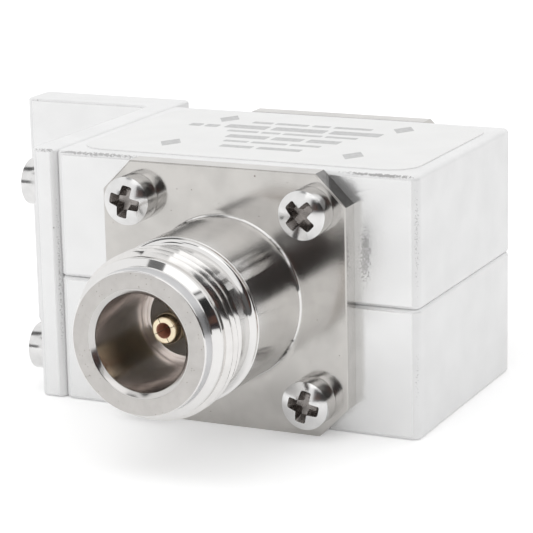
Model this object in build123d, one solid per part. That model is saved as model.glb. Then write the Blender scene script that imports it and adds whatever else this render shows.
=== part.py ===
from build123d import *
import os

os.makedirs("parts", exist_ok=True)

# All sizes in millimetres. +Y runs along the coax line, from the equipment jack at the front to
# the antenna jack at the back. +Z is up. The origin lies under the middle of the overall length
# and depth, at the height of the flat base.

# Housing: a box cut in two halves at the height of the jacks.
housing_length = 38.1
housing_depth = 25.4
housing_height = 25.4
side_wall = 6.0             # left and right walls, deep enough for the screws
jack_wall = 3.2             # front and back walls, which carry the jacks
cavity_half_height = 7.0    # from the line's axis to the floor and to the ceiling
cavity_corner = 2.0
upright_edge_radius = 0.8
top_edge_radius = 0.5
base_edge_radius = 0.4
seam_edge_radius = 0.35

# Mounting bracket: a side plate on the housing's left side and a thicker leg at the back.
bracket_reach = 18.0        # from the housing's left side to the leg's free end
side_plate_thickness = 2.8
leg_thickness = 4.7
leg_setback = 4.1           # how far the leg's rear face lies behind the housing's back
bracket_edge_radius = 0.8
bracket_rim_radius = 0.3
mounting_hole_radius = 2.6
mounting_hole_spacing = 12.7

# Jacks: a square flange with cut corners and a turned body, all one piece.
flange_size = 25.4
flange_thickness = 2.0
flange_corner_cut = 3.0
flange_edge_radius = 0.15
flange_screw_inset = 3.57   # from the flange's sides to its screws
barrel_radius = 7.95
barrel_length = 9.05        # from the flange's face to the groove
barrel_foot = 0.25          # bevel where the barrel meets the flange
groove_radius = 7.25        # plain groove between the barrel and the thread
groove_length = 2.75
thread_major_radius = 7.94
thread_ramp = 0.6           # run-out at the groove
thread_length = 3.3         # with the run-out
shoulder_radius = 7.5       # outer edge of the cone in front of the thread
shoulder_start_gap = 0.45   # from the thread to the cone
shoulder_length = 0.4
neck_radius = 6.75
neck_length = 1.35
rim_edge = 0.18             # round the flat ring at the mouth
mouth_radius = 5.1
mouth_bevel_depth = 0.45
bore_radius = 4.7
bore_seat_radius = 4.1
bore_depth = 9.0            # from the mouth to the annular seat of the mating plug
line_bore_radius = 3.5
spigot_radius = 6.0
spigot_length = 1.15
spigot_recess_depth = 1.2

# Insulating beads and slotted contacts.
bead_head_radius = 5.0
bead_head_depth = 3.5       # from the housing's face to the shoulder inside the jack
bead_front_depth = 5.0      # from the housing's face to the bead's front end
contact_radius = 1.45
contact_tip_recess = 4.9    # how far the contact's tip lies behind the jack's mouth
contact_tip_radius = 1.2
contact_tip_bevel = 0.5
contact_bore_radius = 0.8
contact_bore_depth = 5.5
contact_slot_width = 0.12
contact_slot_length = 5.0
contact_slot_turn = 25.0    # degrees
tail_radius = 1.0
tail_reach = 3.2            # how far the contact's tail stands out into the cavity

# Seals in the flanges' rear faces.
seal_groove_inner_radius = 7.0
seal_groove_outer_radius = 8.2
seal_groove_depth = 0.8
seal_corner = 0.25

# Screws and dowels.
screw_radius = 1.42
screw_clearance = 0.18      # radial, in the holes that a screw only passes through
screw_end_bevel = 0.3
head_radius = 2.35
head_side_height = 2.0      # straight side of a round head, below its dome
head_height = 2.7
head_edge_radius = 0.6
head_clearance = 0.5        # from a head to the bracket's inner corner
cross_width = 0.7
cross_length = 2.9
cross_depth = 1.3
flat_cross_depth = 1.0      # in the countersunk heads
cross_taper = 8.0           # degrees
flange_screw_length = 6.3   # under the head
bracket_screw_length = 8.0
bracket_screw_setback = 3.6 # from the housing's front face
bracket_screw_rise = 8.55   # above and below the line's axis
housing_screw_length = 18.0
housing_screw_inset = 3.1   # from the housing's sides
housing_screw_pitch_left = 6.6
housing_screw_pitch_right = 16.6
countersink_radius = 2.7
thread_hole_extra = 0.5     # how much deeper a tapped hole is than its screw
dowel_radius = 1.0
dowel_length = 6.0
dowel_bevel = 0.2

# Parts of the line inside the cavity.
bar_size = 3.0
bar_bevel = 0.3
bar_end_gap = 0.8           # from the jack walls to the bars
capacitor_radius = 3.2
capacitor_thickness = 1.6
capacitor_edge_radius = 0.3
capacitor_tube_gap = 1.2    # from the capacitor's rear face to the gas tube
electrode_radius = 2.8
electrode_thickness = 0.2
tube_wall_gap = 1.6         # from the gas tube to the back wall
tube_radius = 4.0
tube_height = 6.0
tube_cap_height = 1.0
tube_cap_edge_radius = 0.25
tube_ceramic_setback = 0.1  # how far the ceramic lies inside the caps' radius
tube_ceramic_wall = 1.3
tube_post_radius = 1.6
tube_post_edge_radius = 0.3
tube_spark_gap = 0.6
contact_disc_thickness = 0.3
contact_disc_hole = 1.5
press_pad_radius = 3.0
block_width = 8.0
block_gap = 0.7             # from the support block to the capacitor
block_cheek_rise = 1.8      # above the bar's underside
wire_radius = 0.25
wire_joint_radius = 0.26    # rounded bend where a lead meets a turn
wire_hole_depth = 0.4       # in the front bar's side
coil_radius = 1.8
coil_turns = 5
coil_offset = 4.5           # from the line's axis to the first turn
coil_wall_gap = 1.1         # from the front wall to the coil
coil_height_above_axis = 0.9
coil_post_gap = 0.3
post_wall_gap = 0.25        # from the ground post to the right wall
post_radius = 1.5
post_bevel = 0.3
post_slot_depth = 1.0       # above the wire
post_shank_radius = 1.0
post_shank_length = 3.0

# Plate on the top face.
label_side_margin = 1.4
label_front_margin = 1.6
label_corner = 3.0
label_thickness = 0.1

# Clearances.
slide = 0.02                # radial, between round pieces that fit together
cheek_gap = 0.05
hole_end_gap = 0.1          # between a pin's end and the bottom of its blind hole

# Places that follow from the sizes.
housing_x = bracket_reach / 2
left = housing_x - housing_length / 2
right = housing_x + housing_length / 2
front = -housing_depth / 2
back = housing_depth / 2
axis_z = housing_height / 2
floor = axis_z - cavity_half_height
ceiling = axis_z + cavity_half_height
barrel_end = flange_thickness + barrel_length
groove_end = barrel_end + groove_length
thread_end = groove_end + thread_length
shoulder_start = thread_end + shoulder_start_gap
neck_start = shoulder_start + shoulder_length
mouth = neck_start + neck_length
seat_depth = mouth - bore_depth
contact_tip = mouth - contact_tip_recess
tail_end = -(jack_wall + tail_reach)
flange_screw_spacing = flange_size - 2 * flange_screw_inset
leg_inside_setback = leg_thickness - leg_setback + bracket_edge_radius
bracket_back_screw_setback = leg_inside_setback + head_radius + head_clearance
bar_under = axis_z - bar_size / 2
bar_top = axis_z + bar_size / 2
tube_y = back - jack_wall - tube_wall_gap - tube_radius
tube_bottom = bar_under - tube_height
pocket_floor = tube_bottom - contact_disc_thickness
capacitor_end = tube_y - tube_radius - capacitor_tube_gap
capacitor_y = capacitor_end - capacitor_thickness - 2 * electrode_thickness
bar_front = front + jack_wall + bar_end_gap
block_length = capacitor_y - block_gap - bar_front
coil_y = front + jack_wall + coil_wall_gap + coil_radius + wire_radius
post_offset = housing_length / 2 - side_wall - post_wall_gap - post_radius
coil_length = post_offset - post_radius - coil_post_gap - coil_offset
lead_z = axis_z + coil_height_above_axis
tapped_radius = screw_radius + slide
passing_radius = screw_radius + screw_clearance

up = (Align.CENTER, Align.CENTER, Align.MIN)
down = (Align.CENTER, Align.CENTER, Align.MAX)


def at_equipment_side(shape):
    """Places a piece drawn on +Z, measured out of the housing's face, at the front jack."""
    return Pos(housing_x, front, axis_z) * Rot(90, 0, 0) * shape


def at_antenna_side(shape):
    """The same at the back jack."""
    return Pos(housing_x, back, axis_z) * Rot(0, 0, 180) * Rot(90, 0, 0) * shape


def turned(points):
    """A solid of revolution about Z from its half section, given as radius and height."""
    outline = Polyline(*[(r, 0, z) for r, z in points], close=True)
    return revolve(make_face(outline.edges()), Axis.Z)


def group(shapes):
    return Compound(children=list(shapes))


def four_corners(spacing_x, spacing_y):
    return [(sx * spacing_x / 2, sy * spacing_y / 2) for sx in (-1, 1) for sy in (-1, 1)]


# Screws

def cross():
    return Rectangle(cross_width, cross_length) + Rectangle(cross_length, cross_width)


def round_head():
    """Head with a straight side and a low dome, standing on z = 0."""
    sides = Polyline((0, 0, head_height), (0, 0, 0), (head_radius, 0, 0),
                     (head_radius, 0, head_side_height))
    dome = TangentArc((0, 0, head_height), (head_radius, 0, head_side_height), tangent=(1, 0, 0))
    section = make_face(sides.edges() + dome.edges())
    shoulder = section.vertices().group_by(Axis.X)[-1].sort_by(Axis.Z)[-1]
    section = fillet(shoulder, head_edge_radius)
    head = revolve(section, Axis.Z)
    return head - extrude(Pos(0, 0, head_height) * cross(), amount=-cross_depth, taper=cross_taper)


def round_head_screw(length):
    """The head stands on z = 0 and the shank goes down."""
    shank = Cylinder(screw_radius, length, align=down)
    shank = chamfer(shank.edges().group_by(Axis.Z)[0], screw_end_bevel)
    return round_head() + shank


def countersunk_screw(length):
    """Flat head screw: the head's face lies at z = 0 and the shank goes up."""
    cone = countersink_radius - screw_radius
    body = turned([(0, 0), (countersink_radius - slide, 0), (screw_radius, cone - slide),
                   (screw_radius, length - screw_end_bevel),
                   (screw_radius - screw_end_bevel, length), (0, length)])
    return body - extrude(cross(), amount=flat_cross_depth, taper=cross_taper)


def flange_screws(place):
    spots = four_corners(flange_screw_spacing, flange_screw_spacing)
    screw = round_head_screw(flange_screw_length)
    return group(place(Pos(x, y, flange_thickness) * screw) for x, y in spots)


def bracket_screw_spots():
    ys = (front + bracket_screw_setback, back - bracket_back_screw_setback)
    zs = (axis_z - bracket_screw_rise, axis_z + bracket_screw_rise)
    return [(y, z) for y in ys for z in zs]


def housing_screw_spots():
    x_left, x_right = left + housing_screw_inset, right - housing_screw_inset
    return ([(x_left, s * housing_screw_pitch_left / 2) for s in (-1, 1)]
            + [(x_right, s * housing_screw_pitch_right / 2) for s in (-1, 1)])


def dowel_spots():
    return [(left + housing_screw_inset, 0), (right - housing_screw_inset, 0)]


# Housing

def housing_half(bottom, top, outer_edge):
    """One half as a box with rounded edges; outer_edge is the radius round its closed side."""
    half = Pos(housing_x, 0, bottom) * Box(housing_length, housing_depth, top - bottom, align=up)
    half = fillet(half.edges().filter_by(Axis.Z), upright_edge_radius)
    levels = half.faces().filter_by(Axis.Z).sort_by(Axis.Z)
    lower_radius, upper_radius = (base_edge_radius, seam_edge_radius)
    if bottom > 0:
        lower_radius, upper_radius = (seam_edge_radius, outer_edge)
    half = fillet(levels[0].edges(), lower_radius)
    levels = half.faces().filter_by(Axis.Z).sort_by(Axis.Z)
    return fillet(levels[-1].edges(), upper_radius)


def cavity():
    room = Pos(housing_x, 0, floor) * Box(housing_length - 2 * side_wall,
                                          housing_depth - 2 * jack_wall,
                                          2 * cavity_half_height, align=up)
    return fillet(room.edges().filter_by(Axis.Z), cavity_corner)


def jack_holes():
    """What each jack takes out of its wall: spigot recess, bead hole and tapped holes."""
    hole = Cylinder(spigot_radius + slide, spigot_recess_depth, align=down)
    hole += Cylinder(line_bore_radius, jack_wall + 1, align=down)
    depth = flange_screw_length - flange_thickness + thread_hole_extra
    for x, y in four_corners(flange_screw_spacing, flange_screw_spacing):
        hole += Pos(x, y, 0) * Cylinder(tapped_radius, depth, align=down)
    return at_equipment_side(hole) + at_antenna_side(hole)


def bracket_screw_holes():
    depth = bracket_screw_length - side_plate_thickness + thread_hole_extra
    drill = Rot(0, -90, 0) * Cylinder(tapped_radius, depth, align=down)
    return [Pos(left, y, z) * drill for y, z in bracket_screw_spots()]


def dowel_holes():
    drill = Cylinder(dowel_radius + slide, dowel_length + 2 * hole_end_gap)
    return [Pos(x, y, axis_z) * drill for x, y in dowel_spots()]


def lower_housing():
    half = housing_half(0, axis_z, base_edge_radius)
    half -= cavity()
    half -= jack_holes()
    for hole in bracket_screw_holes() + dowel_holes():
        half -= hole
    cone = countersink_radius - screw_radius
    sink = turned([(0, 0), (countersink_radius, 0), (passing_radius, cone - screw_clearance),
                   (passing_radius, axis_z), (0, axis_z)])
    for x, y in housing_screw_spots():
        half -= Pos(x, y, 0) * sink
    half -= Pos(housing_x, tube_y, pocket_floor) * Cylinder(tube_radius + cheek_gap,
                                                            axis_z - pocket_floor, align=up)
    half -= Pos(housing_x + post_offset, coil_y, floor) * Cylinder(post_shank_radius + slide,
                                                                   post_shank_length, align=down)
    return half


def upper_housing():
    half = housing_half(axis_z, housing_height, top_edge_radius)
    half -= cavity()
    half -= jack_holes()
    for hole in bracket_screw_holes() + dowel_holes():
        half -= hole
    depth = housing_screw_length - axis_z + thread_hole_extra
    for x, y in housing_screw_spots():
        half -= Pos(x, y, axis_z) * Cylinder(tapped_radius, depth, align=up)
    return half


def housing_screws():
    return group(Pos(x, y, 0) * countersunk_screw(housing_screw_length) for x, y in housing_screw_spots())


def housing_dowels():
    pin = Cylinder(dowel_radius, dowel_length)
    pin = chamfer(pin.edges().filter_by(GeomType.CIRCLE), dowel_bevel)
    return group(Pos(x, y, axis_z) * pin for x, y in dowel_spots())


def top_label():
    plate = Rectangle(housing_length - 2 * label_side_margin, housing_depth - 2 * label_front_margin)
    plate = fillet(plate.vertices(), label_corner)
    return extrude(Pos(housing_x, 0, housing_height) * plate, amount=label_thickness)


# Bracket

def mounting_bracket():
    outer_x = left - side_plate_thickness
    end_x = left - bracket_reach
    leg_back = back + leg_setback
    leg_front = leg_back - leg_thickness
    outline = Polyline((left, front), (left, leg_back), (end_x, leg_back), (end_x, leg_front),
                       (outer_x, leg_front), (outer_x, front), close=True)
    plan = make_face(outline.edges())
    plan = fillet(plan.vertices(), bracket_edge_radius)
    bracket = extrude(plan, amount=housing_height)
    levels = bracket.faces().filter_by(Axis.Z).sort_by(Axis.Z)
    bracket = fillet(levels[0].edges() + levels[-1].edges(), bracket_rim_radius)
    drill = Rot(90, 0, 0) * Cylinder(mounting_hole_radius, 3 * leg_thickness)
    for side in (-1, 1):
        z = axis_z + side * mounting_hole_spacing / 2
        bracket -= Pos((end_x + outer_x) / 2, leg_back, z) * drill
    for y, z in bracket_screw_spots():
        bracket -= Pos(left, y, z) * Rot(0, 90, 0) * Cylinder(passing_radius, 3 * side_plate_thickness)
    return bracket


def bracket_screws():
    outer_x = left - side_plate_thickness
    screw = Rot(0, -90, 0) * round_head_screw(bracket_screw_length)
    return group(Pos(outer_x, y, z) * screw for y, z in bracket_screw_spots())


# Jacks, drawn on +Z with the housing's face at z = 0

def jack_body():
    plate = Rectangle(flange_size, flange_size)
    plate = chamfer(plate.vertices(), flange_corner_cut)
    body = extrude(plate, amount=flange_thickness)
    body = fillet(body.faces().sort_by(Axis.Z)[-1].edges(), flange_edge_radius)
    foot_radius = barrel_radius + barrel_foot
    body += turned([(0, -spigot_length), (spigot_radius, -spigot_length), (spigot_radius, 0),
                    (foot_radius, 0), (foot_radius, flange_thickness),
                    (barrel_radius, flange_thickness + barrel_foot), (barrel_radius, barrel_end),
                    (groove_radius, barrel_end), (groove_radius, groove_end),
                    (thread_major_radius, groove_end + thread_ramp),
                    (thread_major_radius, thread_end), (shoulder_radius, shoulder_start),
                    (neck_radius, neck_start), (neck_radius, mouth - rim_edge),
                    (neck_radius - rim_edge, mouth), (0, mouth)])
    body -= turned([(0, mouth), (mouth_radius, mouth), (bore_radius, mouth - mouth_bevel_depth),
                    (bore_seat_radius, seat_depth), (line_bore_radius, seat_depth),
                    (line_bore_radius, bead_head_depth), (bead_head_radius, bead_head_depth),
                    (bead_head_radius, -spigot_length), (0, -spigot_length)])
    body -= turned([(seal_groove_inner_radius, 0), (seal_groove_outer_radius, 0),
                    (seal_groove_outer_radius, seal_groove_depth),
                    (seal_groove_inner_radius, seal_groove_depth)])
    for x, y in four_corners(flange_screw_spacing, flange_screw_spacing):
        body -= Pos(x, y, 0) * Cylinder(passing_radius, flange_thickness, align=up)
    return body


def bead():
    """Insulating bead: head held between the jack's shoulder and the housing's recess floor."""
    neck = line_bore_radius - slide
    head = bead_head_radius - slide
    hole = contact_radius + slide
    return turned([(hole, bead_front_depth), (neck, bead_front_depth), (neck, bead_head_depth),
                   (head, bead_head_depth), (head, -spigot_recess_depth),
                   (neck, -spigot_recess_depth), (neck, -jack_wall),
                   (tail_radius + slide, -jack_wall), (tail_radius + slide, -spigot_recess_depth),
                   (hole, -spigot_recess_depth)])


def contact():
    """Slotted socket with a solid tail; its shoulder rests on the step inside the bead."""
    body = turned([(0, tail_end), (tail_radius, tail_end), (tail_radius, -spigot_recess_depth),
                   (contact_radius, -spigot_recess_depth),
                   (contact_radius, contact_tip - contact_tip_bevel),
                   (contact_tip_radius, contact_tip), (0, contact_tip)])
    body -= Pos(0, 0, contact_tip) * Cylinder(contact_bore_radius, contact_bore_depth, align=down)
    slot = Box(2 * contact_radius + 1, contact_slot_width, contact_slot_length, align=down)
    for turn in (contact_slot_turn, contact_slot_turn + 90):
        body -= Pos(0, 0, contact_tip) * Rot(0, 0, turn) * slot
    return body


def seal_ring():
    inner = seal_groove_inner_radius + slide
    outer = seal_groove_outer_radius - slide
    ring = turned([(inner, 0), (outer, 0), (outer, seal_groove_depth), (inner, seal_groove_depth)])
    return fillet(ring.edges(), seal_corner)


# Line and surge parts inside the cavity

def bar(start, end):
    block = Pos(housing_x, start, axis_z) * Box(bar_size, end - start, bar_size,
                                                align=(Align.CENTER, Align.MIN, Align.CENTER))
    return chamfer(block.edges().filter_by(Axis.Y), bar_bevel)


def tail_hole():
    depth = hole_end_gap - tail_end
    return Cylinder(tail_radius + slide, depth, align=down)


def equipment_line_bar():
    block = bar(bar_front, capacitor_y)
    block -= at_equipment_side(tail_hole())
    drill = Rot(0, 90, 0) * Cylinder(wire_radius + slide, bar_size, align=up)
    return block - Pos(housing_x + bar_size / 2 - wire_hole_depth, coil_y, lead_z) * drill


def antenna_line_bar():
    block = bar(capacitor_end, back - jack_wall - bar_end_gap)
    return block - at_antenna_side(tail_hole())


def on_line(shape, y):
    """Places a disc drawn on +Z so that it stands on the line at y and points to the back."""
    return Pos(housing_x, y, axis_z) * Rot(-90, 0, 0) * shape


def capacitor_disc():
    disc = Cylinder(capacitor_radius, capacitor_thickness, align=up)
    disc = fillet(disc.edges().filter_by(GeomType.CIRCLE), capacitor_edge_radius)
    return on_line(disc, capacitor_y + electrode_thickness)


def capacitor_electrodes():
    face = Cylinder(electrode_radius, electrode_thickness, align=up)
    return group(on_line(face, y) for y in (capacitor_y, capacitor_end - electrode_thickness))


def tube_at(shape, z):
    return Pos(housing_x, tube_y, z) * shape


def gas_tube_ceramic():
    height = tube_height - 2 * tube_cap_height
    outer = tube_radius - tube_ceramic_setback
    ring = Cylinder(outer, height, align=up) - Cylinder(outer - tube_ceramic_wall, height, align=up)
    return tube_at(ring, tube_bottom + tube_cap_height)


def gas_tube_cap():
    """End electrode with its inner post, drawn with the outer face at z = 0."""
    post = (tube_height - tube_spark_gap) / 2
    cap = Cylinder(tube_radius, tube_cap_height, align=up)
    cap = fillet(cap.edges().group_by(Axis.Z)[0], tube_cap_edge_radius)
    pin = Cylinder(tube_post_radius, post, align=up)
    pin = fillet(pin.edges().group_by(Axis.Z)[-1], tube_post_edge_radius)
    return cap + pin


def gas_tube_lower_electrode():
    return tube_at(gas_tube_cap(), tube_bottom)


def gas_tube_upper_electrode():
    return tube_at(Rot(180, 0, 0) * gas_tube_cap(), bar_under)


def gas_tube_contact_disc():
    disc = Cylinder(tube_radius - tube_ceramic_setback, contact_disc_thickness, align=up)
    disc -= Cylinder(contact_disc_hole, contact_disc_thickness, align=up)
    return tube_at(disc, pocket_floor)


def gas_tube_press_pad():
    return tube_at(Cylinder(press_pad_radius, ceiling - bar_top, align=up), bar_top)


def line_support_block():
    """Block under the front bar with a channel that keeps the bar in line."""
    height = bar_under + block_cheek_rise - floor
    middle = bar_front + block_length / 2
    block = Pos(housing_x, middle, floor) * Box(block_width, block_length, height, align=up)
    channel = Box(bar_size + 2 * cheek_gap, block_length, block_cheek_rise, align=up)
    return block - Pos(housing_x, middle, bar_under) * channel


def drain_coil():
    """Wound wire with a straight lead at each end, both at the height of the coil's top."""
    start = housing_x + coil_offset
    end = start + coil_length
    centre_z = lead_z - coil_radius
    turns = Helix(coil_length / coil_turns, coil_length, coil_radius)
    section = Plane(origin=turns @ 0, z_dir=turns % 0) * Circle(wire_radius)
    wound = sweep(section, path=turns, is_frenet=True)
    # the helix is wound on Z from +X; turned so that it runs along X and starts at the top
    wound = Pos(start, coil_y, centre_z) * Rot(0, 90, 0) * Rot(0, 0, 180) * wound
    first = housing_x + bar_size / 2 - wire_hole_depth
    last = housing_x + post_offset
    coil = wound
    for low, high in ((first, start), (end, last)):
        lead = Rot(0, 90, 0) * Cylinder(wire_radius, high - low, align=up)
        coil += Pos(low, coil_y, lead_z) * lead
    for x in (start, end):
        coil += Pos(x, coil_y, lead_z) * Sphere(wire_joint_radius)
    return coil


def ground_post():
    height = lead_z + post_slot_depth - floor
    post = Cylinder(post_radius, height, align=up)
    post = chamfer(post.edges().group_by(Axis.Z)[-1], post_bevel)
    post += Cylinder(post_shank_radius, post_shank_length - hole_end_gap, align=down)
    half_slot = wire_radius + slide
    slot = Box(2 * post_radius, 2 * half_slot, post_slot_depth + half_slot, align=up)
    post -= Pos(0, 0, height - post_slot_depth - half_slot) * slot
    return Pos(housing_x + post_offset, coil_y, floor) * post


pieces = {
    "upper_housing": upper_housing(),
    "lower_housing": lower_housing(),
    "mounting_bracket": mounting_bracket(),
    "bracket_screws": bracket_screws(),
    "housing_screws": housing_screws(),
    "housing_dowels": housing_dowels(),
    "top_label": top_label(),
    "equipment_connector": at_equipment_side(jack_body()),
    "equipment_insulator": at_equipment_side(bead()),
    "equipment_contact": at_equipment_side(contact()),
    "equipment_o_ring": at_equipment_side(seal_ring()),
    "equipment_flange_screws": flange_screws(at_equipment_side),
    "antenna_connector": at_antenna_side(jack_body()),
    "antenna_insulator": at_antenna_side(bead()),
    "antenna_contact": at_antenna_side(contact()),
    "antenna_o_ring": at_antenna_side(seal_ring()),
    "antenna_flange_screws": flange_screws(at_antenna_side),
    "equipment_line_bar": equipment_line_bar(),
    "antenna_line_bar": antenna_line_bar(),
    "capacitor_disc": capacitor_disc(),
    "capacitor_electrodes": capacitor_electrodes(),
    "gas_tube_ceramic": gas_tube_ceramic(),
    "gas_tube_lower_electrode": gas_tube_lower_electrode(),
    "gas_tube_upper_electrode": gas_tube_upper_electrode(),
    "gas_tube_contact_disc": gas_tube_contact_disc(),
    "gas_tube_press_pad": gas_tube_press_pad(),
    "line_support_block": line_support_block(),
    "drain_coil": drain_coil(),
    "ground_post": ground_post(),
}

for name, shape in pieces.items():
    export_step(shape, "parts/" + name + ".step")
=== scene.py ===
import math
import bmesh
import bpy
from mathutils import Matrix, Vector


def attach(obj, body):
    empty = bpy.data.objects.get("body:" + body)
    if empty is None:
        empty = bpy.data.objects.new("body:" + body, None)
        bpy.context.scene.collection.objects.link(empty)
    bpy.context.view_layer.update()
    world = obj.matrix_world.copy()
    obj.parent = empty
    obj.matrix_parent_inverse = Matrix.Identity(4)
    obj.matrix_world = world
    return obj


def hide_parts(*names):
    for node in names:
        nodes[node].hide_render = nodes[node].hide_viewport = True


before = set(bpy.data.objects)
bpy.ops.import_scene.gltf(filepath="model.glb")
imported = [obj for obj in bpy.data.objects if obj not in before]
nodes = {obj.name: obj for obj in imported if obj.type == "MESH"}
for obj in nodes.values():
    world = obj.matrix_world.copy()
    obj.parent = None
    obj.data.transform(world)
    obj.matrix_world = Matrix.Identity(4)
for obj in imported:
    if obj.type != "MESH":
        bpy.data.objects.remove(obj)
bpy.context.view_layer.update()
mm = 0.001
print("frame loaded,", len(nodes), "nodes")

# sizes in millimetres, in the part's own frame: +Y along the coax line, +Z up
box = dict(jackX=9.0, jackZ=12.7, front=-12.7, back=12.7, left=-10.05, right=28.05, height=25.4, plate=2.8)


# nodes and finishes

def addNode(tree, kind, inputs=None, **settings):
    made = tree.nodes.new("ShaderNode" + kind)
    for key, value in settings.items():
        setattr(made, key, value)
    for key, value in (inputs or {}).items():
        if isinstance(value, bpy.types.NodeSocket):
            tree.links.new(value, made.inputs[key])
        else:
            made.inputs[key].default_value = value
    return made


def startFinish(name, colour, metallic, roughness, **more):
    material = bpy.data.materials.new(name)
    material.use_nodes = True
    material.diffuse_color = (*colour, 1)
    tree = material.node_tree
    shader = tree.nodes["Principled BSDF"]
    shader.inputs["Base Color"].default_value = (*colour, 1)
    shader.inputs["Metallic"].default_value = metallic
    shader.inputs["Roughness"].default_value = roughness
    for key, value in more.items():
        shader.inputs[key].default_value = value
    place = addNode(tree, "TexCoord").outputs["Object"]
    return material, tree, shader, place


def grainNoise(tree, place, perMm, detail=2.0, roughness=0.5):
    return addNode(tree, "TexNoise", {"Vector": place, "Scale": perMm / mm, "Detail": detail,
                                      "Roughness": roughness}).outputs["Fac"]


def ranged(tree, value, low, high, toLow, toHigh):
    return addNode(tree, "MapRange", {"Value": value, "From Min": low, "From Max": high,
                                      "To Min": toLow, "To Max": toHigh}).outputs["Result"]


def mixed(tree, factor, first, second, blend="MIX"):
    made = addNode(tree, "Mix", {0: factor}, data_type="RGBA", blend_type=blend)
    for socket, value in ((made.inputs[6], first), (made.inputs[7], second)):
        if isinstance(value, bpy.types.NodeSocket):
            tree.links.new(value, socket)
        else:
            socket.default_value = (*value, 1)
    return made.outputs[2]


def calc(tree, operation, *values):
    return addNode(tree, "Math", dict(enumerate(values)), operation=operation).outputs[0]


# how noise becomes colour and gloss in every finish: the noise values it runs between, and its detail and
# roughness where it is the fine grain
clouds = dict(narrow=(0.35, 0.65), wide=(0.3, 0.7), detail=3.0, plainUneven=0.15, dotRough=0.25,
              metalGrain=(3.0, 0.6), plainGrain=(2.0, 0.5))
# what all rubbed spots and painted reflection patches share: the dense core and the fading rim as shares of
# the reach, and the grains' edges
wearAndReflectionLook = dict(core=0.2, rim=0.85, pull=0.5, soft=0.08, detail=2.0, rough=0.7, colour=(0.16, 0.15, 0.15))


# sparse round dots, 1 inside a dot
def specks(tree, place, dots):
    cells = addNode(tree, "TexVoronoi", {"Vector": place, "Scale": dots["perMm"] / mm})
    dot = ranged(tree, cells.outputs["Distance"], dots["size"] / 2, dots["size"], 1, 0)
    pick = addNode(tree, "SeparateColor", {"Color": cells.outputs["Color"]}).outputs["Red"]
    return calc(tree, "MULTIPLY", dot, calc(tree, "LESS_THAN", pick, dots["share"]))


# grainy dark rubbing and painted reflection, densest at a centre and gone at the reach from it
def wearAndReflectionSpots(tree, place, w):
    look = wearAndReflectionLook
    scale = [1 / (reach * mm) for reach in w["reach"]]
    shift = [-centre * mm * factor for centre, factor in zip(w["centre"], scale)]
    near = addNode(tree, "Mapping", {"Vector": place, "Location": shift, "Scale": scale})
    away = addNode(tree, "VectorMath", {0: near.outputs[0]}, operation="LENGTH").outputs["Value"]
    dense = ranged(tree, away, look["core"], 1, 1, 0)
    grains = grainNoise(tree, place, w["perMm"], look["detail"], look["rough"])
    total = calc(tree, "MULTIPLY_ADD", dense, look["pull"], grains)
    bits = ranged(tree, total, w["level"], w["level"] + look["soft"], 0, w["strength"])
    return calc(tree, "MULTIPLY", bits, ranged(tree, away, look["rim"], 1, 1, 0))


# a point's distance from the jacks' axis, and its place along it
def jackPlace(tree, place):
    shift = (-box["jackX"] * mm, 0, -box["jackZ"] * mm)
    axis = addNode(tree, "Mapping", {"Vector": place, "Location": shift})
    parts = addNode(tree, "SeparateXYZ", {"Vector": axis.outputs[0]})
    across = addNode(tree, "CombineXYZ", {"X": parts.outputs["X"], "Y": parts.outputs["Z"]})
    radius = addNode(tree, "VectorMath", {0: across.outputs[0]}, operation="LENGTH").outputs["Value"]
    return radius, parts.outputs["Y"]


# roughness that varies with the clouds, by a share up and down
def unevenGloss(tree, cloud, roughness, share):
    return ranged(tree, cloud, *clouds["wide"], roughness * (1 - share), roughness * (1 + share))


def addBump(tree, shader, place, f, detail, roughness):
    height = grainNoise(tree, place, f["grainPerMm"], detail, roughness)
    bump = addNode(tree, "Bump", {"Height": height, "Strength": 1.0, "Distance": f["grainHeight"] * mm})
    tree.links.new(bump.outputs[0], shader.inputs["Normal"])


def metalFinish(name, f):
    material, tree, shader, place = startFinish(name, f["colour"], f.get("metallic", 1.0), f["roughness"])
    cloud = grainNoise(tree, place, f["mottlePerMm"], clouds["detail"])
    dull = tuple(c * (1 - f["mottle"]) for c in f["colour"])
    colour = mixed(tree, ranged(tree, cloud, *clouds["narrow"], 0, 1), f["colour"], dull)
    rough = unevenGloss(tree, cloud, f["roughness"], f["uneven"])
    if "dirt" in f:   # brown grime, thickest in the thread's roots
        d = f["dirt"]
        deep = ranged(tree, jackPlace(tree, place)[0], d["root"] * mm, d["clear"] * mm, 1, 0)
        patchy = ranged(tree, grainNoise(tree, place, d["perMm"], d["detail"], d["rough"]), *d["patch"], 0, 1)
        colour = mixed(tree, calc(tree, "MULTIPLY", deep, patchy), colour, d["colour"])
    # dark grainy spots: rubbed edges, and painted reflection where a finish lists a patch of it
    for w in f.get("wearAndReflection", []):
        colour = mixed(tree, wearAndReflectionSpots(tree, place, w), colour, wearAndReflectionLook["colour"])
    for dots in f.get("dots", []):
        mark = specks(tree, place, dots)
        colour = mixed(tree, mark, colour, dots["colour"])
        rough = calc(tree, "MULTIPLY_ADD", mark, clouds["dotRough"], rough)
    tree.links.new(colour, shader.inputs["Base Color"])
    tree.links.new(rough, shader.inputs["Roughness"])
    if f.get("turned"):   # lathe lines
        radius, along = jackPlace(tree, place)
        place = addNode(tree, "CombineXYZ", {"X": radius, "Y": along}).outputs[0]
    addBump(tree, shader, place, f, *clouds["metalGrain"])
    if "lathe" in f:   # fine lines round the axis draw the gloss out along it
        shader.inputs["Anisotropic"].default_value = f["lathe"]
        tree.links.new(addNode(tree, "CombineXYZ", {"Y": 1.0}).outputs[0], shader.inputs["Tangent"])
    return material


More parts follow.
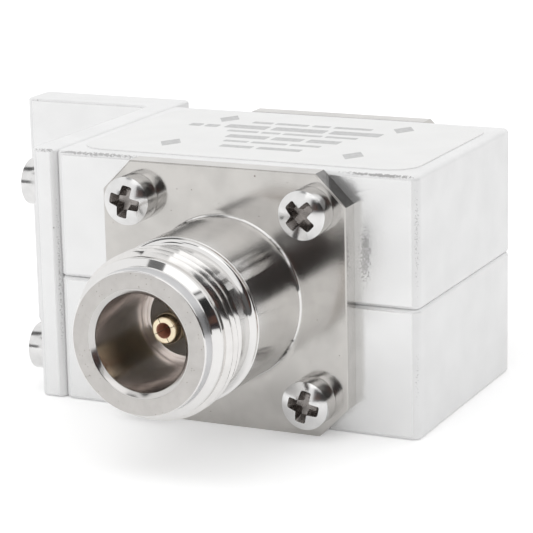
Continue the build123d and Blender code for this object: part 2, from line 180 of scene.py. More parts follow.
# plastic, ceramic, rubber and film: colour clouds, fine grain and uneven gloss
def plainFinish(name, f):
    material, tree, shader, place = startFinish(name, f["colour"], 0.0, f["roughness"], **f.get("more", {}))
    cloud = grainNoise(tree, place, f["cloudPerMm"], clouds["detail"])
    second = tuple(c * f["shade"] for c in f["colour"])
    colour = mixed(tree, ranged(tree, cloud, *clouds["wide"], 0, 1), f["colour"], second)
    tree.links.new(colour, shader.inputs["Base Color"])
    rough = unevenGloss(tree, cloud, f["roughness"], clouds["plainUneven"])
    tree.links.new(rough, shader.inputs["Roughness"])
    addBump(tree, shader, place, f, *clouds["plainGrain"])
    return material


darkDot = (0.12, 0.1, 0.09)
# rubbed edges of the housing's front, and a painted reflection of the flange's dark side on the face beside
# the flange
boxWearAndReflection = [dict(centre=(-6.0, -12.7, 25.4), reach=(11.0, 0.42, 0.42), perMm=5.0, level=0.68, strength=0.5),
           dict(centre=(24.5, -12.7, 25.4), reach=(6.0, 0.36, 0.36), perMm=4.0, level=0.6, strength=0.6),
           dict(centre=(28.05, -12.7, 19.5), reach=(0.55, 0.55, 9.0), perMm=6.0, level=0.72, strength=0.3),
           dict(centre=(28.05, -12.7, 6.0), reach=(0.55, 0.55, 6.0), perMm=6.0, level=0.78, strength=0.3),
           dict(centre=(-10.05, -12.7, 12.0), reach=(0.5, 0.6, 16.0), perMm=6.0, level=0.74, strength=0.4),
           # painted reflection: the flange's dark side mirrored on the face beside it
           dict(centre=(22.8, -12.7, 17.6), reach=(1.4, 0.4, 6.0), perMm=6.0, level=0.9, strength=0.45)]
finishes = dict(
    blastedPlate=metalFinish("blasted plate", dict(
        colour=(0.84, 0.84, 0.84), metallic=0.35, roughness=0.42, uneven=0.12, mottlePerMm=0.25, mottle=0.03,
        grainPerMm=9, grainHeight=0.004, wearAndReflection=boxWearAndReflection,
        dots=[dict(perMm=0.45, size=0.05, share=0.25, colour=(0.5, 0.49, 0.48))])),
    plateEnds=metalFinish("plate ends", dict(
        colour=(0.84, 0.84, 0.84), metallic=0.75, roughness=0.2, uneven=0.12, mottlePerMm=0.25, mottle=0.03,
        grainPerMm=9, grainHeight=0.005, wearAndReflection=boxWearAndReflection,
        dots=[dict(perMm=0.6, size=0.05, share=0.3, colour=(0.5, 0.49, 0.48))])),
    satinNickel=metalFinish("satin nickel", dict(
        colour=(0.59, 0.573, 0.55), roughness=0.13, uneven=0.12, mottlePerMm=0.3, mottle=0.13,
        grainPerMm=7, grainHeight=0.0012,
        dots=[dict(perMm=1.4, size=0.09, share=0.25, colour=(0.25, 0.22, 0.2)),
              dict(perMm=0.4, size=0.06, share=0.4, colour=(0.2, 0.17, 0.15))])),
    polishedNickel=metalFinish("polished nickel", dict(
        colour=(0.82, 0.81, 0.8), roughness=0.13, uneven=0.1, mottlePerMm=0.5, mottle=0.05,
        grainPerMm=10, grainHeight=0.0001, turned=True, lathe=0.97,
        dots=[dict(perMm=0.8, size=0.05, share=0.2, colour=darkDot)])),
    threadNickel=metalFinish("threaded nickel", dict(
        colour=(0.8, 0.785, 0.77), roughness=0.11, uneven=0.1, mottlePerMm=0.8, mottle=0.06,
        grainPerMm=10, grainHeight=0.0003, lathe=0.95,
        dirt=dict(root=7.34, clear=7.46, perMm=0.9, detail=4.0, rough=0.7, patch=(0.3, 0.62),
                  colour=(0.38, 0.3, 0.25)))),
    mirrorNickel=metalFinish("bright nickel cone", dict(
        colour=(0.8, 0.79, 0.78), roughness=0.08, uneven=0.1, mottlePerMm=0.5, mottle=0.03,
        grainPerMm=10, grainHeight=0.0001)),
    neckNickel=metalFinish("satin neck", dict(
        colour=(0.68, 0.68, 0.69), roughness=0.36, uneven=0.1, mottlePerMm=0.5, mottle=0.04,
        grainPerMm=10, grainHeight=0.0004, turned=True, lathe=0.8)),
    mouthNickel=metalFinish("bright mouth", dict(
        colour=(0.62, 0.605, 0.59), roughness=0.16, uneven=0.1, mottlePerMm=0.5, mottle=0.04,
        grainPerMm=10, grainHeight=0.0004)),
    # a dark copy of the flange's nickel for the corner cut that faces +x and +y: painted shade
    shadedCutNickel=metalFinish("corner cut painted shade", dict(
        colour=(0.27, 0.265, 0.26), roughness=0.16, uneven=0.2, mottlePerMm=1.0, mottle=0.3,
        grainPerMm=6, grainHeight=0.002)),
    faceNickel=metalFinish("matt ring face", dict(
        colour=(0.62, 0.6, 0.58), roughness=0.5, uneven=0.1, mottlePerMm=1.2, mottle=0.03,
        grainPerMm=6, grainHeight=0.004,
        dots=[dict(perMm=4.0, size=0.2, share=0.22, colour=(0.3, 0.25, 0.21)),
              dict(perMm=1.6, size=0.09, share=0.3, colour=(0.2, 0.17, 0.15))])),
    boreNickel=metalFinish("bore", dict(
        colour=(0.8, 0.75, 0.72), roughness=0.18, uneven=0.1, mottlePerMm=0.6, mottle=0.08,
        grainPerMm=8, grainHeight=0.0003, turned=True, lathe=0.9)),
    gold=metalFinish("gold plating", dict(
        colour=(0.87, 0.76, 0.56), roughness=0.18, uneven=0.2, mottlePerMm=1.0, mottle=0.08,
        grainPerMm=12, grainHeight=0.001)),
    goldInside=metalFinish("contact's hole", dict(
        colour=(0.75, 0.4, 0.28), metallic=0.1, roughness=0.5, uneven=0.2, mottlePerMm=1.5, mottle=0.2,
        grainPerMm=8, grainHeight=0.002)),
    screwSteel=metalFinish("screw steel", dict(
        colour=(0.78, 0.775, 0.77), roughness=0.17, uneven=0.25, mottlePerMm=0.9, mottle=0.08,
        grainPerMm=8, grainHeight=0.001,
        dots=[dict(perMm=1.1, size=0.06, share=0.2, colour=darkDot)])),
    # darker steel inside the cross recesses: painted shade
    crossRecessShade=metalFinish("screw recess painted shade", dict(
        colour=(0.36, 0.335, 0.32), roughness=0.26, uneven=0.2, mottlePerMm=2.0, mottle=0.25,
        grainPerMm=8, grainHeight=0.004)),
    brass=metalFinish("bare brass", dict(
        colour=(0.78, 0.6, 0.3), roughness=0.3, uneven=0.2, mottlePerMm=0.6, mottle=0.12,
        grainPerMm=7, grainHeight=0.003)),
    copper=metalFinish("enamelled copper", dict(
        colour=(0.76, 0.34, 0.17), roughness=0.25, uneven=0.15, mottlePerMm=0.8, mottle=0.15,
        grainPerMm=8, grainHeight=0.001)),
    silver=metalFinish("fired silver", dict(
        colour=(0.82, 0.81, 0.79), roughness=0.36, uneven=0.2, mottlePerMm=0.8, mottle=0.1,
        grainPerMm=9, grainHeight=0.003)),
    tubeMetal=metalFinish("tube caps", dict(
        colour=(0.62, 0.61, 0.59), roughness=0.28, uneven=0.2, mottlePerMm=0.7, mottle=0.08,
        grainPerMm=8, grainHeight=0.003)),
    labelFilm=plainFinish("label film", dict(
        colour=(0.81, 0.81, 0.805), roughness=0.5, cloudPerMm=0.2, shade=0.98,
        grainPerMm=6, grainHeight=0.002)),
    labelPrint=plainFinish("label print", dict(
        colour=(0.57, 0.57, 0.57), roughness=0.55, cloudPerMm=3.0, shade=0.85,
        grainPerMm=6, grainHeight=0.001)),
    ptfe=plainFinish("white bead", dict(
        colour=(0.86, 0.86, 0.83), roughness=0.45, cloudPerMm=0.4, shade=0.95,
        grainPerMm=5, grainHeight=0.003,
        more={"Subsurface Weight": 0.1, "Subsurface Radius": (0.001, 0.001, 0.001)})),
    ceramicBlue=plainFinish("blue glaze", dict(
        colour=(0.09, 0.2, 0.48), roughness=0.18, cloudPerMm=0.7, shade=0.8,
        grainPerMm=2, grainHeight=0.004)),
    alumina=plainFinish("white alumina", dict(
        colour=(0.84, 0.82, 0.77), roughness=0.35, cloudPerMm=0.8, shade=0.94,
        grainPerMm=8, grainHeight=0.003)),
    padRubber=plainFinish("grey silicone", dict(
        colour=(0.6, 0.6, 0.57), roughness=0.6, cloudPerMm=0.6, shade=0.92,
        grainPerMm=6, grainHeight=0.004)),
    sealRubber=plainFinish("black silicone", dict(
        colour=(0.03, 0.03, 0.03), roughness=0.5, cloudPerMm=0.6, shade=0.8,
        grainPerMm=6, grainHeight=0.004)),
)
print("finishes ready,", len(finishes))


# shape helpers

def newMesh(name, bm, place, materials):
    mesh = bpy.data.meshes.new(name)
    bm.to_mesh(mesh)
    bm.free()
    mesh.transform(place)
    for key in materials:
        mesh.materials.append(finishes[key])
    return mesh


def addObject(name, data):
    made = bpy.data.objects.new(name, data)
    bpy.context.scene.collection.objects.link(made)
    return made


# smooth shaded piece in the part's frame, with a small rounded edge if softEdge is given in mm
def addPiece(name, mesh, replaced, sharp=32.0, softEdge=0.0):
    mesh.shade_smooth()
    mesh.set_sharp_from_angle(angle=math.radians(sharp))
    piece = addObject(name, mesh)
    if softEdge:
        bevel = piece.modifiers.new("soft edge", "BEVEL")
        bevel.width = softEdge * mm
        bevel.segments = 2
        bevel.limit_method = "ANGLE"
        bevel.angle_limit = math.radians(sharp)
        bevel.material = 0
    weighted = piece.modifiers.new("flat faces", "WEIGHTED_NORMAL")
    weighted.keep_sharp = True
    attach(piece, "root")
    if replaced:
        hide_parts(*replaced)


# points nearer than merge in mm become one, facets of a CAD node's copy within flat degrees of each other are
# joined, and a face whose normal has this much Y is an end face
cleaning = dict(merge=0.0005, flat=0.4, end=0.99)


# a merged copy of a CAD node, which stands for it; its end faces may have a finish of their own
def carriedNode(name, finish, ends=None):
    bm = bmesh.new()
    bm.from_mesh(nodes[name].data)
    bmesh.ops.remove_doubles(bm, verts=bm.verts, dist=cleaning["merge"] * mm)
    bmesh.ops.dissolve_limit(bm, angle_limit=math.radians(cleaning["flat"]), use_dissolve_boundaries=False,
                             verts=bm.verts, edges=bm.edges, delimit=set())
    bm.normal_update()
    for face in bm.faces:
        face.material_index = 1 if ends and abs(face.normal.y) > cleaning["end"] else 0
    mesh = newMesh(name + "_look", bm, Matrix.Identity(4), [finish, ends] if ends else [finish])
    addPiece(name + "_look", mesh, [name])


def rounded(bm, geom, offset, segments, affect="EDGES"):
    bmesh.ops.bevel(bm, geom=geom, offset=offset, offset_type="OFFSET", affect=affect, segments=segments,
                    profile=0.5, material=-1)


def extruded(bm, faces):
    grown = bmesh.ops.extrude_face_region(bm, geom=faces)
    return [v for v in grown["geom"] if isinstance(v, bmesh.types.BMVert)]


# a face in the XZ plane from radius and height, with chosen corners rounded: index -> (offset, segments)
def sectionFace(bm, points, rounding):
    corners = [bm.verts.new((r, 0, z)) for r, z in points]
    bm.faces.new(corners)
    for index, (offset, segments) in rounding.items():
        rounded(bm, [corners[index]], offset, segments, "VERTICES")


# turns the outline once round Z and closes it
def spinFull(bm, steps):
    bmesh.ops.delete(bm, geom=bm.faces[:], context="FACES_ONLY")
    onAxis = [e for e in bm.edges if all(abs(v.co.x) < 1e-6 for v in e.verts)]
    bmesh.ops.delete(bm, geom=onAxis, context="EDGES")
    bmesh.ops.spin(bm, geom=bm.verts[:] + bm.edges[:], cent=(0, 0, 0), axis=(0, 0, 1), dvec=(0, 0, 0),
                   angle=math.tau, steps=steps, use_merge=True)
    bmesh.ops.remove_doubles(bm, verts=bm.verts, dist=cleaning["merge"])
    bmesh.ops.recalc_face_normals(bm, faces=bm.faces)


# takes the cutter meshes out of the mesh and gives back the result
def cutAway(mesh, cutters):
    body = addObject("blank", mesh)
    tools = []
    for cutter in cutters:
        tool = addObject("cutter", cutter)
        cut = body.modifiers.new("cut", "BOOLEAN")
        cut.operation = "DIFFERENCE"
        cut.solver = "EXACT"
        cut.object = tool
        tools.append(tool)
    bpy.context.view_layer.update()
    result = bpy.data.meshes.new_from_object(body.evaluated_get(bpy.context.evaluated_depsgraph_get()))
    for thing in [body] + tools:
        bpy.data.objects.remove(thing)
    return result


def bmMesh(bm, name="blank"):
    mesh = bpy.data.meshes.new(name)
    bm.to_mesh(mesh)
    bm.free()
    return mesh


# a jack is made with its flange's rear face at 0 and its mouth up, and then laid along the coax line
scaled = Matrix.Scale(mm, 4)
laidDown = Matrix.Rotation(math.pi / 2, 4, "X")
turnedRound = Matrix.Rotation(math.pi, 4, "Z")
equipmentSide = scaled @ Matrix.Translation((box["jackX"], box["front"], box["jackZ"])) @ laidDown
antennaSide = scaled @ Matrix.Translation((box["jackX"], box["back"], box["jackZ"])) @ turnedRound @ laidDown


# housing, bracket and everything inside

for name, slot, finish in (
        ("upper_housing", "housing", "blastedPlate"), ("lower_housing", "housing", "blastedPlate"),
        ("mounting_bracket", "bracket", "blastedPlate"), ("housing_screws", "steel_screw", "screwSteel"),
        ("housing_dowels", "steel_screw", "screwSteel"),
        ("equipment_insulator", "ptfe", "ptfe"), ("antenna_insulator", "ptfe", "ptfe"),
        ("equipment_o_ring", "seal_rubber", "sealRubber"), ("antenna_o_ring", "seal_rubber", "sealRubber"),
        ("equipment_line_bar", "brass_bar", "brass"), ("antenna_line_bar", "brass_bar", "brass"),
        ("capacitor_disc", "ceramic_blue", "ceramicBlue"), ("capacitor_electrodes", "silver_face", "silver"),
        ("gas_tube_ceramic", "ceramic_white", "alumina"),
        ("gas_tube_lower_electrode", "tube_metal", "tubeMetal"),
        ("gas_tube_upper_electrode", "tube_metal", "tubeMetal"),
        ("gas_tube_contact_disc", "brass_bar", "brass"),
        ("gas_tube_press_pad", "pad_rubber", "padRubber"), ("line_support_block", "ptfe", "ptfe"),
        ("drain_coil", "copper_wire", "copper"), ("ground_post", "brass_bar", "brass")):
    carriedNode(name, finish, ends="plateEnds" if finish == "blastedPlate" else None)
print("housing, bracket and inner parts dressed")


# jacks: radii, and heights above the flange's rear face; rounding is outline corner -> (offset, segments)

jack = dict(flange=25.4, thick=2.0, cornerCut=3.0, edge=0.15, holeInset=3.57, hole=1.6, holeSides=32, hub=8.6,
            foot=0.17, barrel=7.95, barrelEnd=11.05, groove=7.25,
            land=7.5, landStart=16.75, landAt=16.8, shoulderAt=17.52, neckBack=6.75, neckAt=17.95,
            neck=6.71, end=19.3, mouth=5.03, bore=4.55, boreStart=18.9, seat=4.1, seatAt=10.3, seatStep=3.82,
            seatLip=0.16, lipTaper=0.03, throat=3.42, beadRoom=5.0, beadRoomTop=3.5, spigot=6.0,
            spigotEnd=-1.15, sealIn=7.0, sealOut=8.2, sealDepth=0.8, steps=144,
            rounding={2: (0.06, 3), 3: (0.06, 3), 4: (0.09, 4), 5: (0.66, 12), 9: (0.06, 3), 10: (0.07, 4),
                      11: (0.1, 5), 12: (0.15, 6), 13: (0.1, 5), 14: (0.1, 5), 17: (0.04, 3), 18: (0.08, 4)})
# the ridge is wound from low to high and cut down outside start and end; two widths are shares of the pitch
thread = dict(start=13.8, startRamp=0.06, top=7.94, root=7.27, low=13.22, high=17.3, pitch=1.0583,
              crestFlat=0.05, flankWidth=0.86, footWidth=0.98, footDepth=0.3, riseFrom=0.05, ramp=0.6,
              end=16.68, sinkAngle=60.0, leastDepth=0.2, endGap=0.1, stepsPerTurn=120)


def flangePlate():
    j = jack
    bm = bmesh.new()
    middle = j["thick"] / 2
    size = Matrix.Diagonal((j["flange"], j["flange"], j["thick"], 1))
    bmesh.ops.create_cube(bm, size=1, matrix=Matrix.Translation((0, 0, middle)) @ size)
    rounded(bm, [e for e in bm.edges if abs(e.verts[0].co.z - e.verts[1].co.z) > middle], j["cornerCut"], 1)
    rounded(bm, [e for e in bm.edges if all(v.co.z > middle for v in e.verts)], j["edge"], 4)
    cutters = []
    spot = j["flange"] / 2 - j["holeInset"]
    holes = [(j["hole"], sx * spot, sy * spot, j["holeSides"]) for sx in (-1, 1) for sy in (-1, 1)]
    for radius, x, y, sides in [(j["hub"], 0, 0, j["steps"])] + holes:
        drill = bmesh.new()
        bmesh.ops.create_cone(drill, cap_ends=True, segments=sides, radius1=radius, radius2=radius,
                              depth=3 * j["thick"], matrix=Matrix.Translation((x, y, middle)))
        cutters.append(bmMesh(drill))
    return cutAway(bmMesh(bm), cutters)


# barrel, nose, bore and rear as one outline, which starts at the flange's rear face and goes round the front
def jackShell(bm):
    j, t = jack, thread
    lip = j["seatAt"] + j["seatLip"]
    outline = [
        (j["hub"], 0), (j["hub"], j["thick"]), (j["barrel"] + j["foot"], j["thick"]),
        (j["barrel"], j["thick"] + j["foot"]), (j["barrel"], j["barrelEnd"]), (j["groove"], j["barrelEnd"]),
        (j["groove"], t["start"]), (t["root"], t["start"] + t["startRamp"]), (t["root"], j["landStart"]),
        (j["land"], j["landAt"]), (j["land"], j["shoulderAt"]), (j["neckBack"], j["neckAt"]),
        (j["neck"], j["end"]), (j["mouth"], j["end"]), (j["bore"], j["boreStart"]), (j["seat"], j["seatAt"]),
        (j["seatStep"], j["seatAt"]), (j["seatStep"] - j["lipTaper"], lip), (j["throat"], lip),
        (j["throat"], j["beadRoomTop"]), (j["beadRoom"], j["beadRoomTop"]), (j["beadRoom"], j["spigotEnd"]),
        (j["spigot"], j["spigotEnd"]), (j["spigot"], 0), (j["sealIn"], 0), (j["sealIn"], j["sealDepth"]),
        (j["sealOut"], j["sealDepth"]), (j["sealOut"], 0)]
    sectionFace(bm, outline, j["rounding"])
    spinFull(bm, j["steps"])


# one V-shaped ridge wound round the nose, rising out of the groove and sinking into the land at its front
def threadRidge(bm):
    t = thread
    half = t["pitch"] / 2
    rise = [(t["root"] - t["footDepth"], half * t["footWidth"]), (t["root"], half * t["flankWidth"]),
            (t["top"], t["crestFlat"])]
    section = [(r, -z) for r, z in rise] + rise[::-1]
    ring = [bm.verts.new((r, 0, z + t["low"])) for r, z in section]
    for a, b in zip(ring, ring[1:]):
        bm.edges.new((a, b))
    length = t["high"] - t["low"]
    turns = length / t["pitch"]
    steps = int(turns * t["stepsPerTurn"])
    bmesh.ops.spin(bm, geom=bm.verts[:] + bm.edges[:], cent=(0, 0, 0), axis=(0, 0, 1),
                   dvec=(0, 0, length / steps), angle=math.tau * turns, steps=steps, use_merge=False)
    for v in bm.verts:
        radius = v.co.xy.length
        risen = max(0.0, v.co.z - t["start"]) * (t["top"] - t["root"]) / t["ramp"]
        rising = t["root"] - t["riseFrom"] + risen
        sinking = t["top"] - (v.co.z - t["end"]) * math.tan(math.radians(t["sinkAngle"]))
        allowed = max(t["root"] - t["leastDepth"], min(t["top"], rising, sinking))
        if radius > allowed:
            v.co.xy *= allowed / radius
        v.co.z = min(max(v.co.z, t["start"]), jack["shoulderAt"] - t["endGap"])
    bmesh.ops.recalc_face_normals(bm, faces=bm.faces)
    if sum(f.normal.xy.dot(f.calc_center_median().xy) for f in bm.faces) < 0:
        bmesh.ops.reverse_faces(bm, faces=bm.faces)


jackFinishes = ["satinNickel", "polishedNickel", "faceNickel", "boreNickel", "threadNickel", "mirrorNickel",
                "neckNickel", "mouthNickel", "shadedCutNickel"]
# where the jack's finishes meet: radii, heights, distances from its edges, and how far a face looks one way
zones = dict(flangeFrom=6.5, flangeOver=0.02, shadedCutFacing=0.6, faceFacing=0.95, near=0.01, boreFrom=3.0,
             neckFrom=0.1, neckTo=0.16, outside=6.0, coneFrom=0.07, filletFrom=0.1, filletTo=0.68,
             threadFrom=7.0)


# the finish of a face of the jack, by its place and by the way it looks
def jackFinish(centre, normal):
    j, z = jack, zones
    radius = centre.xy.length
    if centre.z < j["thick"] + z["flangeOver"] and radius > z["flangeFrom"]:
        # painted shade: the corner cut that faces +x and +y takes the dark copy of the flange's nickel
        return "shadedCutNickel" if min(normal.x, normal.y) > z["shadedCutFacing"] else "satinNickel"
    if normal.z > z["faceFacing"] and centre.z > j["end"] - z["near"]:
        return "faceNickel"
    if radius < j["bore"] + z["near"] and centre.z > z["boreFrom"]:
        return "boreNickel"
    if j["neckAt"] + z["neckFrom"] < centre.z < j["end"] - z["neckTo"] and radius > z["outside"]:
        return "neckNickel"
    if centre.z > j["shoulderAt"] - z["coneFrom"]:
        return "mirrorNickel" if radius > z["outside"] else "mouthNickel"
    if j["barrelEnd"] - z["filletFrom"] < centre.z < j["barrelEnd"] + z["filletTo"]:
        return "mirrorNickel"
    if thread["start"] < centre.z < j["shoulderAt"] and radius > z["threadFrom"]:
        return "threadNickel"
    return "polishedNickel"


def addJack(name, place, node):
    bm = bmesh.new()
    jackShell(bm)
    ridge = bmesh.new()
    threadRidge(ridge)
    bm.from_mesh(bmMesh(ridge))
    bm.from_mesh(flangePlate())
    bm.normal_update()
    for face in bm.faces:
        face.material_index = jackFinishes.index(jackFinish(face.calc_center_median(), face.normal))
    addPiece(name, newMesh(name, bm, place, jackFinishes), [node], sharp=25.0)


addJack("equipment_jack_look", equipmentSide, "equipment_connector")
addJack("antenna_jack_look", antennaSide, "antenna_connector")
print("jacks turned")


# slotted contacts

pin = dict(shaft=1.45, tail=1.0, tailEnd=-6.4, shoulder=-1.2, bevelStart=13.8, tipRadius=1.2, tip=14.4,
           hole=0.8, mouthHole=0.7, closeFrom=12.6, holeEnd=8.9, slot=0.06, slotLength=5.0, slotTurn=25.0,
           spare=1.0, holeSlack=0.02, endSlack=0.1, steps=72,
           rounding={1: (0.1, 3), 4: (0.2, 4), 5: (0.1, 4), 6: (0.05, 3)})


def contactMesh():
    p = pin
    bm = bmesh.new()
    outline = [(0, p["tailEnd"]), (p["tail"], p["tailEnd"]), (p["tail"], p["shoulder"]),
               (p["shaft"], p["shoulder"]), (p["shaft"], p["bevelStart"]), (p["tipRadius"], p["tip"]),
               (p["mouthHole"], p["tip"]), (p["hole"], p["closeFrom"]), (p["hole"], p["holeEnd"]),
               (0, p["holeEnd"])]
    sectionFace(bm, outline, p["rounding"])
    spinFull(bm, p["steps"])
    cutters = []
    size = Matrix.Diagonal((2 * p["shaft"] + p["spare"], p["slot"], p["slotLength"] + p["spare"], 1))
    lift = Matrix.Translation((0, 0, p["tip"] + (p["spare"] - p["slotLength"]) / 2))
    for turn in (p["slotTurn"], p["slotTurn"] + 90):
        blade = bmesh.new()
        bmesh.ops.create_cube(blade, size=1, matrix=lift @ Matrix.Rotation(math.radians(turn), 4, "Z") @ size)
        cutters.append(bmMesh(blade))
    return cutAway(bmMesh(bm), cutters)


def addContact(name, place, node):
    bm = bmesh.new()
    bm.from_mesh(contactMesh())
    for face in bm.faces:
        c = face.calc_center_median()
        inHole = c.xy.length < pin["hole"] + pin["holeSlack"] and c.z > pin["holeEnd"] - pin["endSlack"]
        face.material_index = 1 if inHole else 0
    addPiece(name, newMesh(name, bm, place, ["gold", "goldInside"]), [node], sharp=30.0)


addContact("equipment_contact_look", equipmentSide, "equipment_contact")
addContact("antenna_contact_look", antennaSide, "antenna_contact")
print("contacts made")


# round head screws

screw = dict(head=2.35, side=2.0, top=2.7, dome=1.279, domeGap=0.01, shank=1.42, shankBevel=0.3,
             flangeLength=6.3, bracketLength=8.0, crossWidth=1.3, crossLength=4.0, crossDepth=1.2,
             crossFoot=0.5, crossOver=0.3, innerRound=(0.16, 4), tipRound=(0.24, 4), topRound=12,
             sideRound=(0.8, 10), footRound=(0.12, 3), crossSlack=0.05, depthSlack=0.1, domeSlack=0.03,
             softEdge=0.11, steps=96)


# a tapered cross with rounded lobes, open side up at the head's top
def crossCutter():
    s = screw
    reach = s["crossLength"] / 2
    bm = bmesh.new()
    bmesh.ops.create_grid(bm, x_segments=3, y_segments=3, size=1)
    for v in bm.verts:   # the grid's lines stand at 1/3 and 1, and move to the arms' sides and ends
        for axis in (0, 1):
            far = abs(v.co[axis]) > 0.5
            v.co[axis] = math.copysign(reach if far else s["crossWidth"] / 2, v.co[axis])
    corners = [f for f in bm.faces if min(map(abs, f.calc_center_median().xy)) > s["crossWidth"] / 2]
    bmesh.ops.delete(bm, geom=corners, context="FACES")
    bmesh.ops.dissolve_faces(bm, faces=bm.faces[:])
    rounded(bm, [v for v in bm.verts if v.co.length < reach], *s["innerRound"], "VERTICES")
    rounded(bm, [v for v in bm.verts if v.co.length > reach], *s["tipRound"], "VERTICES")
    foot = extruded(bm, bm.faces[:])
    bmesh.ops.translate(bm, verts=foot, vec=(0, 0, -s["crossDepth"] - s["crossOver"]))
    bmesh.ops.scale(bm, verts=foot, vec=(s["crossFoot"], s["crossFoot"], 1))
    bmesh.ops.translate(bm, verts=bm.verts, vec=(0, 0, s["top"] + s["crossOver"]))
    bmesh.ops.recalc_face_normals(bm, faces=bm.faces)
    return bmMesh(bm)


def screwMesh(length):
    s = screw
    bm = bmesh.new()
    bevel = s["shankBevel"]
    outline = [(0, -length), (s["shank"] - bevel, -length), (s["shank"], bevel - length), (s["shank"], 0),
               (s["head"], 0), (s["head"], s["side"]), (s["dome"], s["top"]), (0, s["top"])]
    rounding = {6: (s["dome"] - s["domeGap"], s["topRound"]), 5: s["sideRound"], 4: s["footRound"]}
    sectionFace(bm, outline, rounding)
    spinFull(bm, s["steps"])
    mesh = cutAway(bmMesh(bm), [crossCutter()])
    bm = bmesh.new()
    bm.from_mesh(mesh)
    rise = s["top"] - s["side"]
    radius = (s["head"] ** 2 + rise ** 2) / (2 * rise)
    for face in bm.faces:
        c = face.calc_center_median()
        out = c.xy.length
        dome = s["top"] - radius + math.sqrt(radius ** 2 - out ** 2)
        deepest = s["top"] - s["crossDepth"] - s["depthSlack"]
        inCross = out < s["crossLength"] / 2 + s["crossSlack"] and deepest < c.z < dome - s["domeSlack"]
        # faces inside the cross take the darker steel, a painted shade
        face.material_index = 1 if inCross else 0
    return bmMesh(bm)


# one group of screws; each spot is a place matrix and the turn of its cross in degrees
def addScrews(name, node, length, spots):
    blank = screwMesh(length)
    bm = bmesh.new()
    for place, turn in spots:
        one = blank.copy()
        one.transform(place @ Matrix.Rotation(math.radians(turn), 4, "Z"))
        bm.from_mesh(one)
    mesh = newMesh(name, bm, Matrix.Identity(4), ["screwSteel", "crossRecessShade"])
    addPiece(name, mesh, [node], sharp=30.0, softEdge=screw["softEdge"])


spot = jack["flange"] / 2 - jack["holeInset"]
corners = [(-spot, spot), (-spot, -spot), (spot, -spot), (spot, spot)]
for name, side, node, turns in (
        ("equipment_screws_look", equipmentSide, "equipment_flange_screws", (-13, 32, -13, 45)),
        ("antenna_screws_look", antennaSide, "antenna_flange_screws", (20, -8, 38, 5))):
    spots = [(side @ Matrix.Translation((x, y, jack["thick"])), turn) for (x, y), turn in zip(corners, turns)]
    addScrews(name, node, screw["flangeLength"], spots)

bracketScrews = dict(y=(-9.1, 8.45), rise=8.55, turns=(12, -20, 35, 5))
leftWall = Matrix.Rotation(-math.pi / 2, 4, "Y")
places = [Matrix.Translation((box["left"] - box["plate"], y, box["jackZ"] + side * bracketScrews["rise"]))
          for y in bracketScrews["y"] for side in (-1, 1)]
spots = [(scaled @ place @ leftWall, turn) for place, turn in zip(places, bracketScrews["turns"])]
addScrews("bracket_screws_look", "bracket_screws", screw["bracketLength"], spots)
print("screws in place")


# label plate with four diamond marks and plain bars; a row is its depth place, the bars' height, and each
# bar's start and length

label = dict(sideMargin=1.4, frontMargin=1.6, corner=3.0, thick=0.1, print=0.01, barCorner=0.12,
             markRadius=1.5, markShape=(0.75, 1.25, 1),
             marks=((-9.82, -5.85), (-9.84, 7.5), (9.83, -6.12), (9.6, 7.47)),
             rows=[(6.4, 0.9, ((-6.6, 2.2), (-4.0, 3.6), (0.1, 1.9), (2.5, 4.1))),
                   (3.9, 1.7, ((-8.4, 4.6), (-3.2, 5.8), (3.2, 5.4))),
                   (1.6, 0.8, ((-7.2, 3.4), (-3.4, 2.0), (-1.0, 4.2), (3.6, 3.4))),
                   (-0.9, 1.5, ((-6.0, 4.4), (-1.0, 3.2), (2.8, 3.4))),
                   (-3.3, 0.8, ((-5.2, 2.6), (-2.2, 3.8), (2.0, 3.2))),
                   (-5.7, 1.1, ((-4.4, 3.4), (-0.4, 4.6)))],
             sideRow=dict(y=3.5, tall=1.3, corner=0.3, words=((-12.4, 1.4), (-10.6, 1.5))))


def roundedSlab(bm, width, depth, corner, low, high, x=0.0, y=0.0):
    size = Matrix.Diagonal((width, depth, high - low, 1))
    made = bmesh.ops.create_cube(bm, size=1, matrix=Matrix.Translation((x, y, (low + high) / 2)) @ size)
    edges = dict.fromkeys(e for v in made["verts"] for e in v.link_edges)
    uprights = [e for e in edges if abs(e.verts[0].co.z - e.verts[1].co.z) > (high - low) / 2]
    rounded(bm, uprights, corner, 10)


def diamondMark(bm, x, y, low, high):
    made = bmesh.ops.create_circle(bm, cap_ends=True, segments=4, radius=label["markRadius"],
                                   matrix=Matrix.Translation((x, y, low)))
    corners = made["verts"]
    bmesh.ops.scale(bm, verts=corners, vec=label["markShape"], space=Matrix.Translation((-x, -y, 0)))
    bmesh.ops.translate(bm, verts=extruded(bm, corners[0].link_faces[:]), vec=(0, 0, high - low))
    bmesh.ops.recalc_face_normals(bm, faces=bm.faces)


def addLabel():
    s = label
    width = box["right"] - box["left"] - 2 * s["sideMargin"]
    depth = box["back"] - box["front"] - 2 * s["frontMargin"]
    onTop = scaled @ Matrix.Translation((box["jackX"], 0, box["height"]))
    plate = bmesh.new()
    roundedSlab(plate, width, depth, s["corner"], 0, s["thick"] - s["print"])
    mesh = newMesh("label_plate_look", plate, onTop, ["labelFilm"])
    addPiece("label_plate_look", mesh, ["top_label"])

    low, high = s["thick"] - 2 * s["print"], s["thick"]   # the print starts inside the film
    bm = bmesh.new()
    for y, tall, words in s["rows"]:
        for start, length in words:
            roundedSlab(bm, length, tall, s["barCorner"], low, high, start + length / 2, y)
    row = s["sideRow"]
    for start, length in row["words"]:
        roundedSlab(bm, length, row["tall"], row["corner"], low, high, start + length / 2, row["y"])
    for x, y in s["marks"]:
        diamondMark(bm, x, y, low, high)
    addPiece("label_print_look", newMesh("label_print_look", bm, onTop, ["labelPrint"]), [])


addLabel()
print("label laid")


